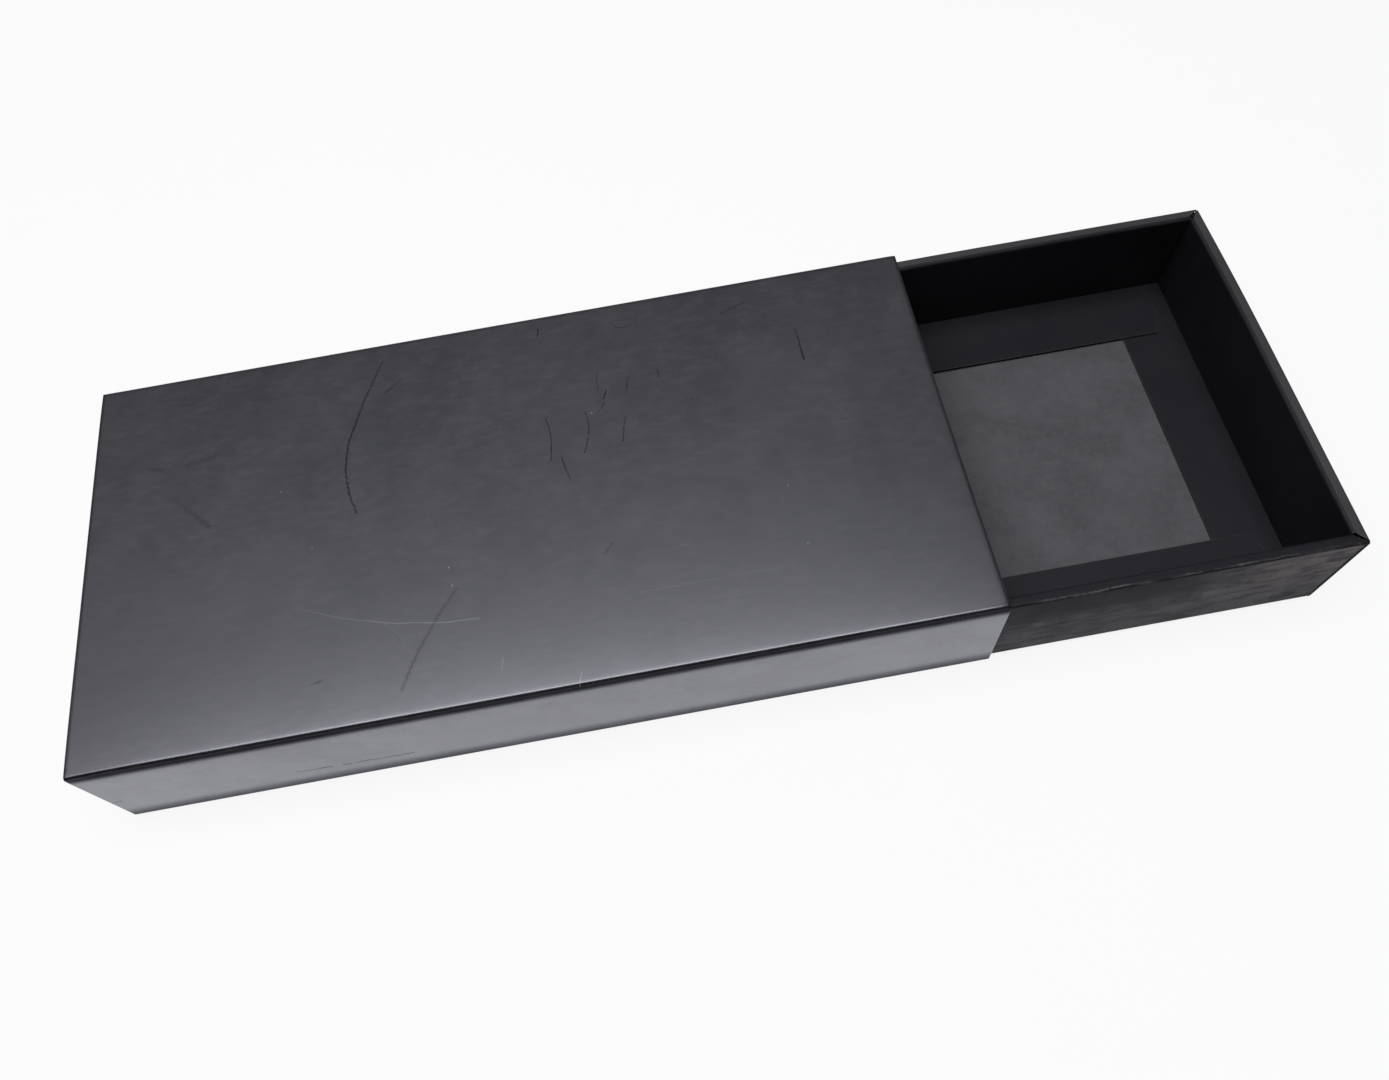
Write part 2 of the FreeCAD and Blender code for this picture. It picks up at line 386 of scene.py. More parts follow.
@dataclass
class Strip:
    """A sheet seen end-on, walked from panel to panel along the middle of its thickness."""

    card: Card
    facing: Facing
    spot: Vector
    centre: Vector
    body: Body
    slot: Slot
    settle: Settle
    dress: Dress
    heading: float = 0.0
    tilt: Matrix = field(default_factory=lambda: Matrix.Identity(4))

    def _left(self) -> Vector:
        """Unit vector to the left of the walk."""
        return heading_vector(self.heading + QUARTER_TURN)

    def flat(self, name: str, length: float, reach: float, joined: bool = False) -> None:
        """Makes the sheet's first panel, which has no crease of its own.

        Args:
            name: The panel's name.
            length: How far it runs to the next crease.
            reach: Half of its extent along the strip.
            joined: Whether its near edge is joined to another panel too.
        """
        panel = Panel(name, self.card, self.dress, 0.0, length, reach, reach, joined_near=joined)
        self._finish(panel, self.spot + self._left() * self.card.middle, 1.0)
        self.spot = self.spot + heading_vector(self.heading) * length

    def fold(
        self, name: str, angle: float, length: float, reach: float, edge_reach: float | None = None,
        last: bool = False, card: Card | None = None, **turned: bool,
    ) -> None:
        """Makes the panel that turns on a crease and then runs flat.

        Args:
            name: The panel's name.
            angle: How far it turns, anticlockwise if positive.
            length: The length of its flat.
            reach: Half of its extent along the strip, at the crease.
            edge_reach: The same at its far edge, where it tapers.
            last: Whether its far edge is a cut one.
            card: The card as this crease bends it, where that isn't the strip's own way.
            turned: printed_inside or foot_follows, as the panel has them.
        """
        card = card or self.card
        turn = math.copysign(1.0, angle)
        centre = self.spot + self._left() * (turn * card.middle)
        self.heading += angle
        edge = reach if edge_reach is None else edge_reach
        panel = Panel(name, card, self.dress, abs(angle), length, reach, edge, joined_far=not last, **turned)
        self._finish(panel, centre, turn)
        self.spot = centre - self._left() * turn * card.middle + heading_vector(self.heading) * length

    def _finish(self, panel: Panel, centre: Vector, turn: float) -> None:
        """Models the panel, puts it in its place in the box, lets it settle and hands it over.

        Args:
            panel: The panel.
            centre: Its crease's centre, in the section.
            turn: 1 where the crease's centre is on the left of the walk, and -1 where it is on the right.
        """
        section = Matrix([Vector(axis) for axis in self.facing.value]).transposed()
        axes = Matrix((heading_vector(self.heading), Vector((0, 0, -turn)), self._left() * turn))
        turned = section @ axes.transposed()
        piece = panel.build()
        placed = Matrix.Translation(self.centre + section @ centre) @ turned.to_4x4()
        piece.matrix_world = self.tilt @ placed
        choose(piece)
        bpy.ops.object.transform_apply(location=True, rotation=True, scale=True)
        at = points_of(piece)
        at += self.settle(panel.name, at / MM) * MM
        piece.data.vertices.foreach_set("co", at.astype(np.float32).ravel())
        piece.data.update()
        bpy.ops.object.shade_smooth_by_angle(angle=SMOOTH_BELOW)
        apply_modifier(piece, "even_shading", "WEIGHTED_NORMAL", keep_sharp=True)
        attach(piece, self.body.value)
        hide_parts(panel.name)
        LOG.info("%s stands for %s, %d faces", piece.name, panel.name, len(piece.data.polygons))


# ---- the sleeve ----
@dataclass(frozen=True)
class SleeveGive:
    """How far the sleeve's card has given, in millimetres."""

    sag: float = 1.25                    # of the top, at the mouth that the tray comes out of
    sag_fade: float = 38.0
    sag_spread: float = 0.8              # how flat the sag is across the top: 1 for a parabola
    sag_middle: float = 0.92
    sag_to_back: float = 0.3
    shoulder: float = 0.32
    shoulder_fade: float = 7.0
    ripple: float = 0.05
    ripples: tuple[Wave, ...] = ((1.0, 23.0, 31.0, 0.6), (1.0, 41.0, -17.0, 2.1), (1.0, 13.0, 44.0, 0.0))
    lip: float = 0.2
    lip_fade: float = 0.8
    bow: float = 0.10
    bow_fade: float = 2.0
    lean: float = 0.19                   # how steeply the front wall leans in below its top crease
    lean_reach: float = 1.8
    lean_fade: float = 0.9
    lean_depth: float = 12.0
    firm_end: float = 0.8                # how much less it leans at the closed end
    firm_fade: float = 5.0


@dataclass(frozen=True)
class Sleeve:
    """One sheet, folded round into a flat tube that is open at both ends."""

    card: Card
    film: Dress
    marked_top: Dress
    marked_front: Dress
    length: float = 243 * MM
    width: float = 120 * MM
    height: float = 36 * MM
    raw_edge_setback: float = 0.4 * MM
    glue_flap: float = 16 * MM
    glue_flap_taper: float = 4 * MM
    rounded_crease: float = 0.4 * MM     # inside radius of the front top crease, the most handled one
    give: SleeveGive = SleeveGive()

    def build(self) -> None:
        """Walks the sheet from the bottom panel's cut edge round to the glue flap."""
        card, reach = self.card, self.length / 2
        wide, tall = self.width - 2 * card.outside, self.height - 2 * card.outside
        cut_edge = self.width / 2 - self.raw_edge_setback
        sheet = Strip(
            card, Facing.FRONT, Vector((-cut_edge, card.thickness / 2, 0)), Vector((0, 0, 0)),
            Body.SLEEVE, Slot.SLEEVE, self.settle, self.film,
        )
        rounded = replace(card, inside=self.rounded_crease)
        given_up = rounded.outside - card.outside
        sheet.flat("sleeve_bottom_panel", cut_edge + wide / 2, reach)
        sheet.dress = self.marked_front
        sheet.fold("sleeve_front_panel", QUARTER_TURN, tall - given_up, reach)
        sheet.dress = self.marked_top
        sheet.fold("sleeve_top_panel", QUARTER_TURN, wide - given_up, reach, card=rounded)
        sheet.dress = self.film
        sheet.fold("sleeve_back_panel", QUARTER_TURN, tall - card.thickness, reach)
        flap_edge = reach - self.glue_flap_taper
        sheet.fold("sleeve_glue_flap", QUARTER_TURN, self.glue_flap, reach, flap_edge, last=True)

    def settle(self, name: str, at: np.ndarray) -> np.ndarray:
        """How far the card has given from its drawn shape.

        The top sags at the mouth that the tray comes out of, where its lip curls down, falls off to its
        shoulders by the long creases and is never quite flat.  The long walls bow in a little, and the front
        wall leans in just below the top, less so at the closed end.

        Args:
            name: The panel's name, which is not used: all of them give in one field, so that they stay
                joined.
            at: Places in millimetres, one row each.

        Returns:
            A move in millimetres for each place.
        """
        give = self.give
        x, y, z = at.T
        half_length, half_width, height = self.length / MM / 2, self.width / MM / 2, self.height / MM
        up = np.clip(z / height, 0, 1)
        across = np.clip(1 - (y / half_width) ** 2, 0, 1)
        from_mouth, from_side = half_length - x, half_width - np.abs(y)
        sag = give.sag * np.exp(-from_mouth / give.sag_fade) * across ** give.sag_spread
        sag *= give.sag_middle + give.sag_to_back * y / half_width
        shoulder = give.shoulder * np.exp(-from_side / give.shoulder_fade)
        ripple = give.ripple * across * (1 + waves(x, y, give.ripples) / len(give.ripples))
        lip = give.lip * np.exp(-from_mouth / give.lip_fade)
        move = np.zeros_like(at)
        move[:, 2] = -up ** 3 * (sag + shoulder + ripple + lip)
        bow = give.bow * np.sin(math.pi * up) * (1 - (x / half_length) ** 2)
        bow *= np.exp(-from_side / give.bow_fade)
        lean = give.lean * give.lean_fade * np.exp(-(half_width + y) / give.lean_depth)
        lean *= 1 - give.firm_end * np.exp(-(x + half_length) / give.firm_fade)
        lean *= np.log1p(np.exp((give.lean_reach - height + z) / give.lean_fade))
        move[:, 1] = lean - np.sign(y) * bow
        return move


# ---- the tray ----
@dataclass(frozen=True)
class HollowWall:
    """A wall of two skins: rim wide at the top and foot wide at the floor, where its flap lies."""

    lean: float
    rim: float
    foot: float
    flap: float
    flap_taper: float
    flap_level: float


class Reaches(NamedTuple):
    """Half extents of a hollow wall's panels; a pair is for a panel's crease and its far edge."""

    outer: tuple[float, ...]
    rim: tuple[float, float]
    inner: tuple[float, float]
    flap: tuple[float, float]


@dataclass(frozen=True)
class TrayGive:
    """How far the tray's card has given, in millimetres."""

    drawn_in: float = 0.42               # of the ends' corners
    drawn_to_back: float = 0.45
    drawn_fade: float = 15.0
    ripple: float = 0.06
    ripples: tuple[Wave, ...] = ((1.0, 19.0, 15.0, 0.7), (0.6, 8.3, -11.0, 1.9))
    swell: float = 0.15
    swell_fade: float = 3.0
    belly: float = 0.3
    lively: float = 0.4                  # how unevenly the skins and flaps give
    lively_x: tuple[float, float] = (26.0, 1.3)
    lively_y: tuple[float, float] = (17.0, 0.4)
    flap_lift: float = 0.35
    end_flap_share: float = 0.5
    end_flap_reach: float = 36.0


@dataclass(frozen=True)
class Tray:
    """One sheet, folded into a drawer with hollow walls."""

    card: Card
    plain: Dress
    scuffed: Dress
    # painted light: the back and end rims are lighter than the front rim
    handled: Dress
    front_rim: Dress
    length: float = 239.4 * MM           # along the floor; the end walls lean out from there
    width: float = 118.2 * MM
    height: float = 32.6 * MM
    lift: float = 1.1 * MM
    right_end: float = 214.7 * MM        # where its floor ends at rest
    rim_slope: float = math.radians(8)
    mitre_gap: float = 0.07 * MM
    tuck_behind: float = 0.4 * MM
    corner_gap: float = 0.15 * MM
    corner_tab: float = 22 * MM
    corner_tab_taper: float = 5 * MM
    corner_tab_gap: float = 0.3 * MM     # above and below it
    side: HollowWall = HollowWall(0.0, 3.4 * MM, 2.2 * MM, 19.5 * MM, 7.0 * MM, 1.0 * MM)
    end: HollowWall = HollowWall(math.radians(4.6), 3.6 * MM, 1.9 * MM, 18.5 * MM, 2.0 * MM, 0.5 * MM)
    soft_crease: float = 0.6 * MM        # inside radius where a rim turns down into the cavity
    sharp_crease: float = 0.12 * MM      # and where an inner wall turns out on the floor
    give: TrayGive = TrayGive()

    @property
    def centre(self) -> Vector:
        """The middle of the tray at rest, on the floor's level."""
        return Vector((self.right_end - self.length / 2, 0, 0))

    @property
    def floor_middle(self) -> float:
        """Height of the middle of the floor panel's thickness."""
        return self.lift + self.card.thickness / 2

    @property
    def end_leans(self) -> float:
        """How far an end wall leans out, for each unit of its height."""
        return math.tan(self.end.lean)

    @property
    def end_rise(self) -> float:
        """How far an end wall's rim stands out from the floor's end."""
        return (self.height - 2 * self.card.outside) * self.end_leans

    def build(self) -> None:
        """Makes the floor, the four hollow walls and the four corner tabs."""
        outside = self.card.outside
        floor = self._strip(Facing.RIGHT, Vector((outside - self.length / 2, self.floor_middle, 0)))
        floor.slot = Slot.FLOOR
        floor.flat("tray_floor_panel", self.length - 2 * outside, self.width / 2 - outside, joined=True)
        for name, facing in (("tray_front", Facing.FRONT), ("tray_back", Facing.BACK)):
            self._wall(name, facing, self.width / 2, self.side, self._side_reaches())
        for name, facing in (("tray_left_end", Facing.LEFT), ("tray_right_end", Facing.RIGHT)):
            self._wall(name, facing, self.length / 2, self.end, self._end_reaches())
        for side, side_name in ((-1, "front"), (1, "back")):
            for end, end_name in ((-1, "left"), (1, "right")):
                self._corner_tab(f"tray_{side_name}_{end_name}_corner_tab", side, end)

    def _strip(self, facing: Facing, spot: Vector, centre: Vector | None = None) -> Strip:
        """A strip of the tray's sheet that starts at that spot of its section."""
        middle = self.centre if centre is None else centre
        return Strip(self.card, facing, spot, middle, Body.TRAY, Slot.TRAY, self.settle, self.plain)

    def _wall(self, name: str, facing: Facing, face: float, wall: HollowWall, reaches: Reaches) -> None:
        """Walks one hollow wall: up the outside, over the rim, down the inside and out on the floor.

        Args:
            name: What its four panels' names start with.
            facing: The way that the wall faces.
            face: How far its outer face is from the tray's middle.
            wall: Its widths and its flap.
            reaches: Half extents of its panels.
        """
        card, in_front = self.card, name == "tray_front"
        soft, sharp = replace(card, inside=self.soft_crease), replace(card, inside=self.sharp_crease)
        sheet = self._strip(facing, Vector((face - card.outside, self.floor_middle, 0)))
        sheet.dress = self.scuffed if in_front else self.plain
        outer_flat = (self.height - 2 * card.outside) / math.cos(wall.lean)
        sheet.fold(f"{name}_outer_wall", QUARTER_TURN - wall.lean, outer_flat, *reaches.outer)
        sheet.dress = self.front_rim if in_front else self.handled
        rim_flat = (wall.rim - card.outside - soft.outside) / math.cos(self.rim_slope)
        sheet.fold(f"{name}_rim", QUARTER_TURN + wall.lean + self.rim_slope, rim_flat, *reaches.rim)
        sheet.dress = self.plain
        upper = sheet.spot + heading_vector(sheet.heading + QUARTER_TURN) * soft.middle
        lower_level = self.floor_middle + wall.flap_level + sharp.middle
        between = Vector((face - wall.foot - sharp.inside, lower_level, 0)) - upper
        crossing = soft.middle + sharp.middle
        length = math.sqrt(between.length_squared - crossing ** 2)
        downward = math.atan2(between.y, between.x) + math.atan2(crossing, length)
        turn_in = downward % FULL_TURN - sheet.heading
        sheet.fold(f"{name}_inner_wall", turn_in, length, *reaches.inner, card=soft, foot_follows=True)
        sheet.fold(
            f"{name}_floor_flap", HALF_TURN - sheet.heading, wall.flap - sharp.inside, *reaches.flap,
            last=True, card=sharp, printed_inside=True,
        )

    def _side_reaches(self) -> Reaches:
        """Half extents of a long wall's panels; its ends lean out with the end walls.

        Returns:
            The half extents, in metres.
        """
        card, half, leans = self.card, self.length / 2, self.end_leans
        outer = half - card.outside * (1 + leans) - (card.thickness + card.gap) * math.hypot(1, leans)
        corner = half + self.end_rise - self.mitre_gap
        inner = half + self.tuck_behind
        flap = half - self.end.foot - card.inside - card.gap
        return Reaches(
            (outer, outer + (self.height - card.outside) * leans),
            (corner, corner - self.end.rim),
            (inner + self.end_rise - self.end.rim, inner - self.end.foot),
            (flap, flap - self.side.flap_taper),
        )

    def _end_reaches(self) -> Reaches:
        """Half extents of an end wall's panels.

        Returns:
            The half extents, in metres.
        """
        half, side = self.width / 2, self.side
        corner, inner = half - self.mitre_gap, half - self.corner_gap
        flap = half - side.foot - self.card.gap
        return Reaches(
            (half - self.card.gap,), (corner, corner - side.rim), (inner - side.rim, inner - side.foot),
            (flap, flap - self.end.flap_taper),
        )

    def _corner_tab(self, name: str, side: int, end: int) -> None:
        """Makes the tab on a long wall's end, turned in and leaning behind the end wall's outer skin.

        Args:
            name: The tab's name.
            side: -1 for the front wall and 1 for the back.
            end: -1 for the left end and 1 for the right.
        """
        u = end * (self._side_reaches().outer[0] + self.height / 2 * self.end_leans)
        spot = Vector((u, side * (self.width - self.card.thickness) / 2, 0))
        middle = self.centre + Vector((0, 0, self.lift + self.height / 2))
        pivot = Matrix.Translation(middle + Vector((u, 0, 0)))
        tab = self._strip(Facing.ABOVE, spot, middle)
        tab.tilt = pivot @ Matrix.Rotation(end * self.end.lean, 4, "Y") @ pivot.inverted()
        tab.heading = 0.0 if end > 0 else HALF_TURN
        reach = self.height / 2 - self.card.outside - self.corner_tab_gap
        tapered = reach - self.corner_tab_taper
        tab.fold(name, -side * end * QUARTER_TURN, self.corner_tab, reach, tapered, last=True)

    def settle(self, name: str, at: np.ndarray) -> np.ndarray:
        """How far the card has given from its drawn shape.

        The corners of each end are drawn in, the rims wave a little, the inner skins belly into the cavity,
        and the flaps spring up towards their free edges.

        Args:
            name: The panel's name.
            at: Places in millimetres, one row each.

        Returns:
            A move in millimetres for each place.
        """
        give = self.give
        x, y, z = at[:, 0] - self.centre.x / MM, at[:, 1], at[:, 2]
        half_length, half_width = self.length / MM / 2, self.width / MM / 2
        along, aside = x / half_length, y / half_width
        up = np.clip((z - self.lift / MM) / (self.height / MM), 0, 1)
        from_end, from_side = np.maximum(half_length - np.abs(x), 0), half_width - np.abs(y)
        move = np.zeros_like(at)
        drawn_in = give.drawn_in * (1 + give.drawn_to_back * aside) * aside ** 2
        move[:, 0] -= np.sign(x) * drawn_in * up ** 2 * np.exp(-from_end / give.drawn_fade)
        move[:, 2] += give.ripple * up ** 4 * (waves(x, y, give.ripples) - 1.0)
        swell = give.swell * np.sin(math.pi * up) * (1 - along ** 2)
        move[:, 1] += np.sign(y) * swell * np.exp(-from_side / give.swell_fade)
        belly = give.belly * np.sin(math.pi * up) ** 2
        lively_x, lively_y = (
            1 + give.lively * np.sin(place / span + start)
            for place, (span, start) in ((x, give.lively_x), (y, give.lively_y))
        )
        if name.endswith("end_inner_wall"):
            move[:, 0] -= np.sign(x) * belly * lively_y * (1 - aside ** 2)
        elif name.endswith("inner_wall"):
            move[:, 1] -= np.sign(y) * belly * lively_x * (1 - along ** 4)
        elif name.endswith("end_floor_flap"):
            free = np.clip((from_end - self.end.foot / MM) / (self.end.flap / MM), 0, 1)
            inner = np.clip(1 - (y / give.end_flap_reach) ** 2, 0, 1)
            move[:, 2] += give.flap_lift * give.end_flap_share * free ** 2 * inner
        elif name.endswith("floor_flap"):
            free = np.clip((from_side - self.side.foot / MM) / (self.side.flap / MM), 0, 1)
            move[:, 2] += give.flap_lift * free ** 2 * lively_x
        return move


# ---- node graphs ----
class Plane(Enum):
    """The plane that a panel's marks lie in, as the two coordinates that are kept."""

    TOP = ("X", "Y")
    FRONT = ("X", "Z")


class Graph:
    """Adds nodes to a tree and joins them."""

    def __init__(self, tree: bpy.types.NodeTree) -> None:
        """Starts with the tree as it is."""
        self.tree = tree

    def node(self, kind: str, values: dict | None = None, **settings: object) -> bpy.types.Node:
        """Adds a node.

        Args:
            kind: Its type, without the leading ShaderNode.
            values: What its inputs get, by name or number: a socket to join, or a plain value.
            settings: Its other properties.

        Returns:
            The node.
        """
        made = self.tree.nodes.new(f"ShaderNode{kind}")
        for key, value in settings.items():
            setattr(made, key, value)
        for key, value in (values or {}).items():
            self.feed(made.inputs[key], value)
        return made

    def feed(self, socket: Socket, value: object) -> None:
        """Joins a socket to another, or sets its own value.

        Args:
            socket: The input.
            value: A socket to join it to, or a plain value.
        """
        if isinstance(value, bpy.types.NodeSocket):
            self.tree.links.new(value, socket)
        else:
            socket.default_value = value

    def sum(self, operation: str, *values: object) -> Socket:
        """A Math node of that operation on those values."""
        return self.node("Math", dict(enumerate(values)), operation=operation).outputs[0]

    def times(self, first: object, *others: object) -> object:
        """The product of all the values.

        Args:
            first: A socket or a number.
            others: More of them.

        Returns:
            Their product.
        """
        for other in others:
            first = self.sum("MULTIPLY", first, other)
        return first

    def most(self, first: object, second: object) -> Socket:
        """The larger of two values."""
        return self.sum("MAXIMUM", first, second)

    def less(self, first: object, second: object) -> Socket:
        """The first value less the second."""
        return self.sum("SUBTRACT", first, second)

    def clamped(self, value: Socket) -> Socket:
        """The value kept between 0 and 1."""
        return self.node("Clamp", {"Value": value}).outputs[0]

    def vector(self, operation: str, *values: object, out: str = "Vector") -> Socket:
        """A Vector Math node of that operation on those values."""
        return self.node("VectorMath", dict(enumerate(values)), operation=operation).outputs[out]

    def parts(self, vector: object) -> Sequence[Socket]:
        """The three numbers of a vector."""
        return self.node("SeparateXYZ", {0: vector}).outputs

    def fit(
        self, value: object, low: float, high: float, to_low: object = 0.0, to_high: object = 1.0,
    ) -> Socket:
        """Carries a value from one range to another, with an S-shaped rise."""
        values = {"Value": value, "From Min": low, "From Max": high, "To Min": to_low, "To Max": to_high}
        return self.node("MapRange", values, interpolation_type="SMOOTHSTEP").outputs["Result"]

    def mix(self, factor: object, low: object, high: object) -> Socket:
        """Mixes two colours.

        Args:
            factor: The share of the second colour.
            low: The first colour: a socket, or three numbers.
            high: The second one.

        Returns:
            The mixed colour.
        """
        low, high = (
            (*value, 1.0) if isinstance(value, tuple) and len(value) == 3 else value for value in (low, high)
        )
        return self.node("Mix", {0: factor, 6: low, 7: high}, data_type="RGBA").outputs[2]

    def layered(self, colour: object, *layers: tuple) -> Socket:
        """Lays colours over the first, one after another.

        Args:
            colour: The undermost one.
            layers: Each a colour, and the masks or numbers that multiply to its share.

        Returns:
            The colour that they make.
        """
        for over, *masks in layers:
            colour = self.mix(self.times(*masks), colour, over)
        return colour

    def raised(self, value: object, *shares: tuple[object, float]) -> Socket:
        """Adds to a value that share of each mask.

        Args:
            value: A socket or a number.
            shares: Pairs of a mask and the share of it to add.

        Returns:
            The sum.
        """
        for mask, share in shares:
            value = self.sum("MULTIPLY_ADD", mask, share, value)
        return value

    def noise(self, place: object, scale: object, detail: float = 2.0, distortion: float = 0.0) -> Socket:
        """Soft noise between 0 and 1, at that many blots to the unit."""
        values = {"Vector": place, "Scale": scale, "Detail": detail, "Distortion": distortion}
        return self.node("TexNoise", values).outputs[0]

    def place(self) -> Socket:
        """The place on the piece, in metres."""
        return self.node("TexCoord").outputs["Object"]

    def in_plane(self, plane: Plane) -> Socket:
        """The place in that plane, in millimetres.

        Args:
            plane: Which plane it is.

        Returns:
            The place, as a vector.
        """
        scaled = self.node("VectorMath", {0: self.place(), "Scale": 1 / MM}, operation="SCALE").outputs[0]
        parts, (across, up) = self.parts(scaled), plane.value
        return self.node("CombineXYZ", {"X": parts[across], "Y": parts[up]}).outputs[0]


class Effect(Graph):
    """A node group that materials share: its inputs are read, and its outputs fed, by their names."""

    def __init__(self, name: str, outputs: Iterable[str], **inputs: object) -> None:
        """Starts the group.

        Args:
            name: Its name.
            outputs: Its outputs' names, all of them numbers.
            inputs: Its inputs beside Place, with their first values, and with underscores for spaces.
        """
        super().__init__(bpy.data.node_groups.new(name, "ShaderNodeTree"))
        new_socket = self.tree.interface.new_socket
        for label, first in {"Place": (0.0, 0.0, 0.0), **inputs}.items():
            kind = "NodeSocketVector" if isinstance(first, tuple) else "NodeSocketFloat"
            new_socket(label.replace("_", " "), in_out="INPUT", socket_type=kind).default_value = first
        for label in outputs:
            new_socket(label, in_out="OUTPUT", socket_type="NodeSocketFloat")
        self._given = self.tree.nodes.new("NodeGroupInput").outputs
        self._put = self.tree.nodes.new("NodeGroupOutput").inputs

    def __getitem__(self, label: str) -> Socket:
        """What the group is given there."""
        return self._given[label]

    def __setitem__(self, label: str, value: Socket) -> None:
        """Feeds one of the group's outputs."""
        self.feed(self._put[label], value)


def mottle() -> bpy.types.NodeTree:
    """Clouds from 0 to 1, with smaller ones inside them.

    Returns:
        The node group.
    """
    graph = Effect("Mottle", ["Cloud"], Scale=30.0)
    large = graph.noise(graph["Place"], graph["Scale"], detail=3.0, distortion=0.6)
    small = graph.noise(graph["Place"], graph.times(graph["Scale"], 4.3))
    graph["Cloud"] = graph.fit(graph.raised(graph.times(small, 0.3), (large, 0.7)), 0.35, 0.65)
    return graph.tree


def paper_tooth() -> bpy.types.NodeTree:
    """The fine texture of paper: a height, and the fibres that lie on it.

    Returns:
        The node group.
    """
    graph = Effect("Paper_tooth", ["Height", "Fibres"], Grain=1800.0, Fibre=600.0)
    grain = graph.noise(graph["Place"], graph["Grain"], detail=3.0)
    bent = graph.noise(graph["Place"], graph.times(graph["Fibre"], 0.5), detail=1.0)
    drawn = graph.vector("MULTIPLY", graph["Place"], (1.0, 3.5, 3.5))
    lines = graph.noise(drawn, graph["Fibre"], distortion=1.5)
    fibres = graph.fit(graph.times(lines, graph.sum("ADD", bent, 0.5)), 0.52, 0.72)
    graph["Height"] = graph.raised(grain, (fibres, 0.4))
    graph["Fibres"] = fibres
    return graph.tree


def stroke() -> bpy.types.NodeTree:
    """A scratch or scuff: a bowed line between two points of a plane, given in millimetres.

    Returns:
        The node group.
    """
    graph = Effect(
        "Stroke", ["Mask"], Start=(0.0, 0.0, 0.0), End=(10.0, 0.0, 0.0),
        Bow=0.0, Width=0.3, First=1.0, Last=1.0, Ragged=0.5,
    )
    chord = graph.vector("SUBTRACT", graph["End"], graph["Start"])
    reached = graph.vector("SUBTRACT", graph["Place"], graph["Start"])
    span = graph.vector("LENGTH", chord, out="Value")
    run = graph.vector("DOT_PRODUCT", reached, chord, out="Value")
    part = graph.sum("DIVIDE", run, graph.times(span, span))
    inside = graph.clamped(part)
    aside = graph.sum("DIVIDE", graph.parts(graph.vector("CROSS_PRODUCT", reached, chord))["Z"], span)
    bowed = graph.times(inside, graph.less(1.0, inside), 4.0, graph["Bow"])
    shake = graph.less(graph.noise(graph["Place"], 0.13, detail=1.0), 0.5)
    off = graph.sum("ADD", graph.less(aside, bowed), graph.times(shake, 0.8))
    beyond = graph.times(graph.less(part, inside), span)
    away = graph.sum("SQRT", graph.sum("ADD", graph.sum("POWER", off, 2.0), graph.sum("POWER", beyond, 2.0)))
    worn = graph.fit(graph.noise(graph["Place"], 1.3, detail=3.0), 0.3, 0.7, graph.less(1.0, graph["Ragged"]))
    line = graph.less(1.0, graph.clamped(graph.sum("DIVIDE", away, graph.times(graph["Width"], worn))))
    along = {"Value": part, "To Min": graph["First"], "To Max": graph["Last"]}
    graph["Mask"] = graph.times(graph.fit(line, 0.0, 0.8), graph.node("MapRange", along).outputs["Result"])
    return graph.tree


def specks() -> bpy.types.NodeTree:
    """Small round specks of dust, a few of them in every square of the scale.

    Returns:
        The node group.
    """
    graph = Effect("Dust", ["Specks"], Scale=120.0, Share=0.1, Size=0.05)
    cells = graph.node("TexVoronoi", {"Vector": graph["Place"], "Scale": graph["Scale"]}).outputs
    pick = graph.node("SeparateColor", {0: cells["Color"]}).outputs[0]
    chosen = graph.sum("LESS_THAN", pick, graph["Share"])
    near = graph.sum("LESS_THAN", cells["Distance"], graph.times(graph["Size"], pick))
    graph["Specks"] = graph.times(chosen, near)
    return graph.tree


def edge_wear() -> bpy.types.NodeTree:
    """Worn patches along the noted creases and cut edges, and how near each of the two is.

    Returns:
        The node group.
    """
    graph = Effect("Edge_wear", ["Crease", "Cut", "By crease", "By cut"], Crease_width=0.7, Cut_width=0.5)
    patch = graph.noise(graph["Place"], 260.0, detail=4.0)
    broken = graph.raised(patch, (graph.noise(graph["Place"], 1700.0), 0.5))
    for name, label in (("creases", "Crease"), ("cuts", "Cut")):
        noted = graph.node("Attribute", attribute_name=name).outputs["Vector"]
        parts = graph.parts(graph.vector("ABSOLUTE", noted))
        nearest = graph.sum("MINIMUM", graph.sum("MINIMUM", parts[0], parts[1]), parts[2])
        away = graph.sum("DIVIDE", graph.times(nearest, 1 / MM), graph[f"{label} width"])
        graph[label] = graph.fit(graph.sum("ADD", graph.less(1.0, graph.clamped(away)), broken), 1.25, 1.75)
        graph[f"By {label.lower()}"] = graph.fit(away, 0.5, 2.2, 1.0, 0.0)
    return graph.tree


@dataclass(frozen=True)
class Effects:
    """The effects that the finishes share, each built once."""

    mottle: bpy.types.NodeTree = field(default_factory=mottle)
    tooth: bpy.types.NodeTree = field(default_factory=paper_tooth)
    stroke: bpy.types.NodeTree = field(default_factory=stroke)
    specks: bpy.types.NodeTree = field(default_factory=specks)
    wear: bpy.types.NodeTree = field(default_factory=edge_wear)


# ---- marks of use ----
class Stroke(NamedTuple):
    """A mark in a panel's plane, in millimetres, and how strong it is at its start and at its end."""

    start: tuple[float, float, float]
    end: tuple[float, float, float]
    bow: float
    width: float
    first: float
    last: float


def strokes(*rows: tuple[float, ...]) -> tuple[Stroke, ...]:
    """Marks, from rows that give where each starts and ends and then its other numbers."""
    return tuple(Stroke((x, y, 0.0), (to_x, to_y, 0.0), *rest) for x, y, to_x, to_y, *rest in rows)


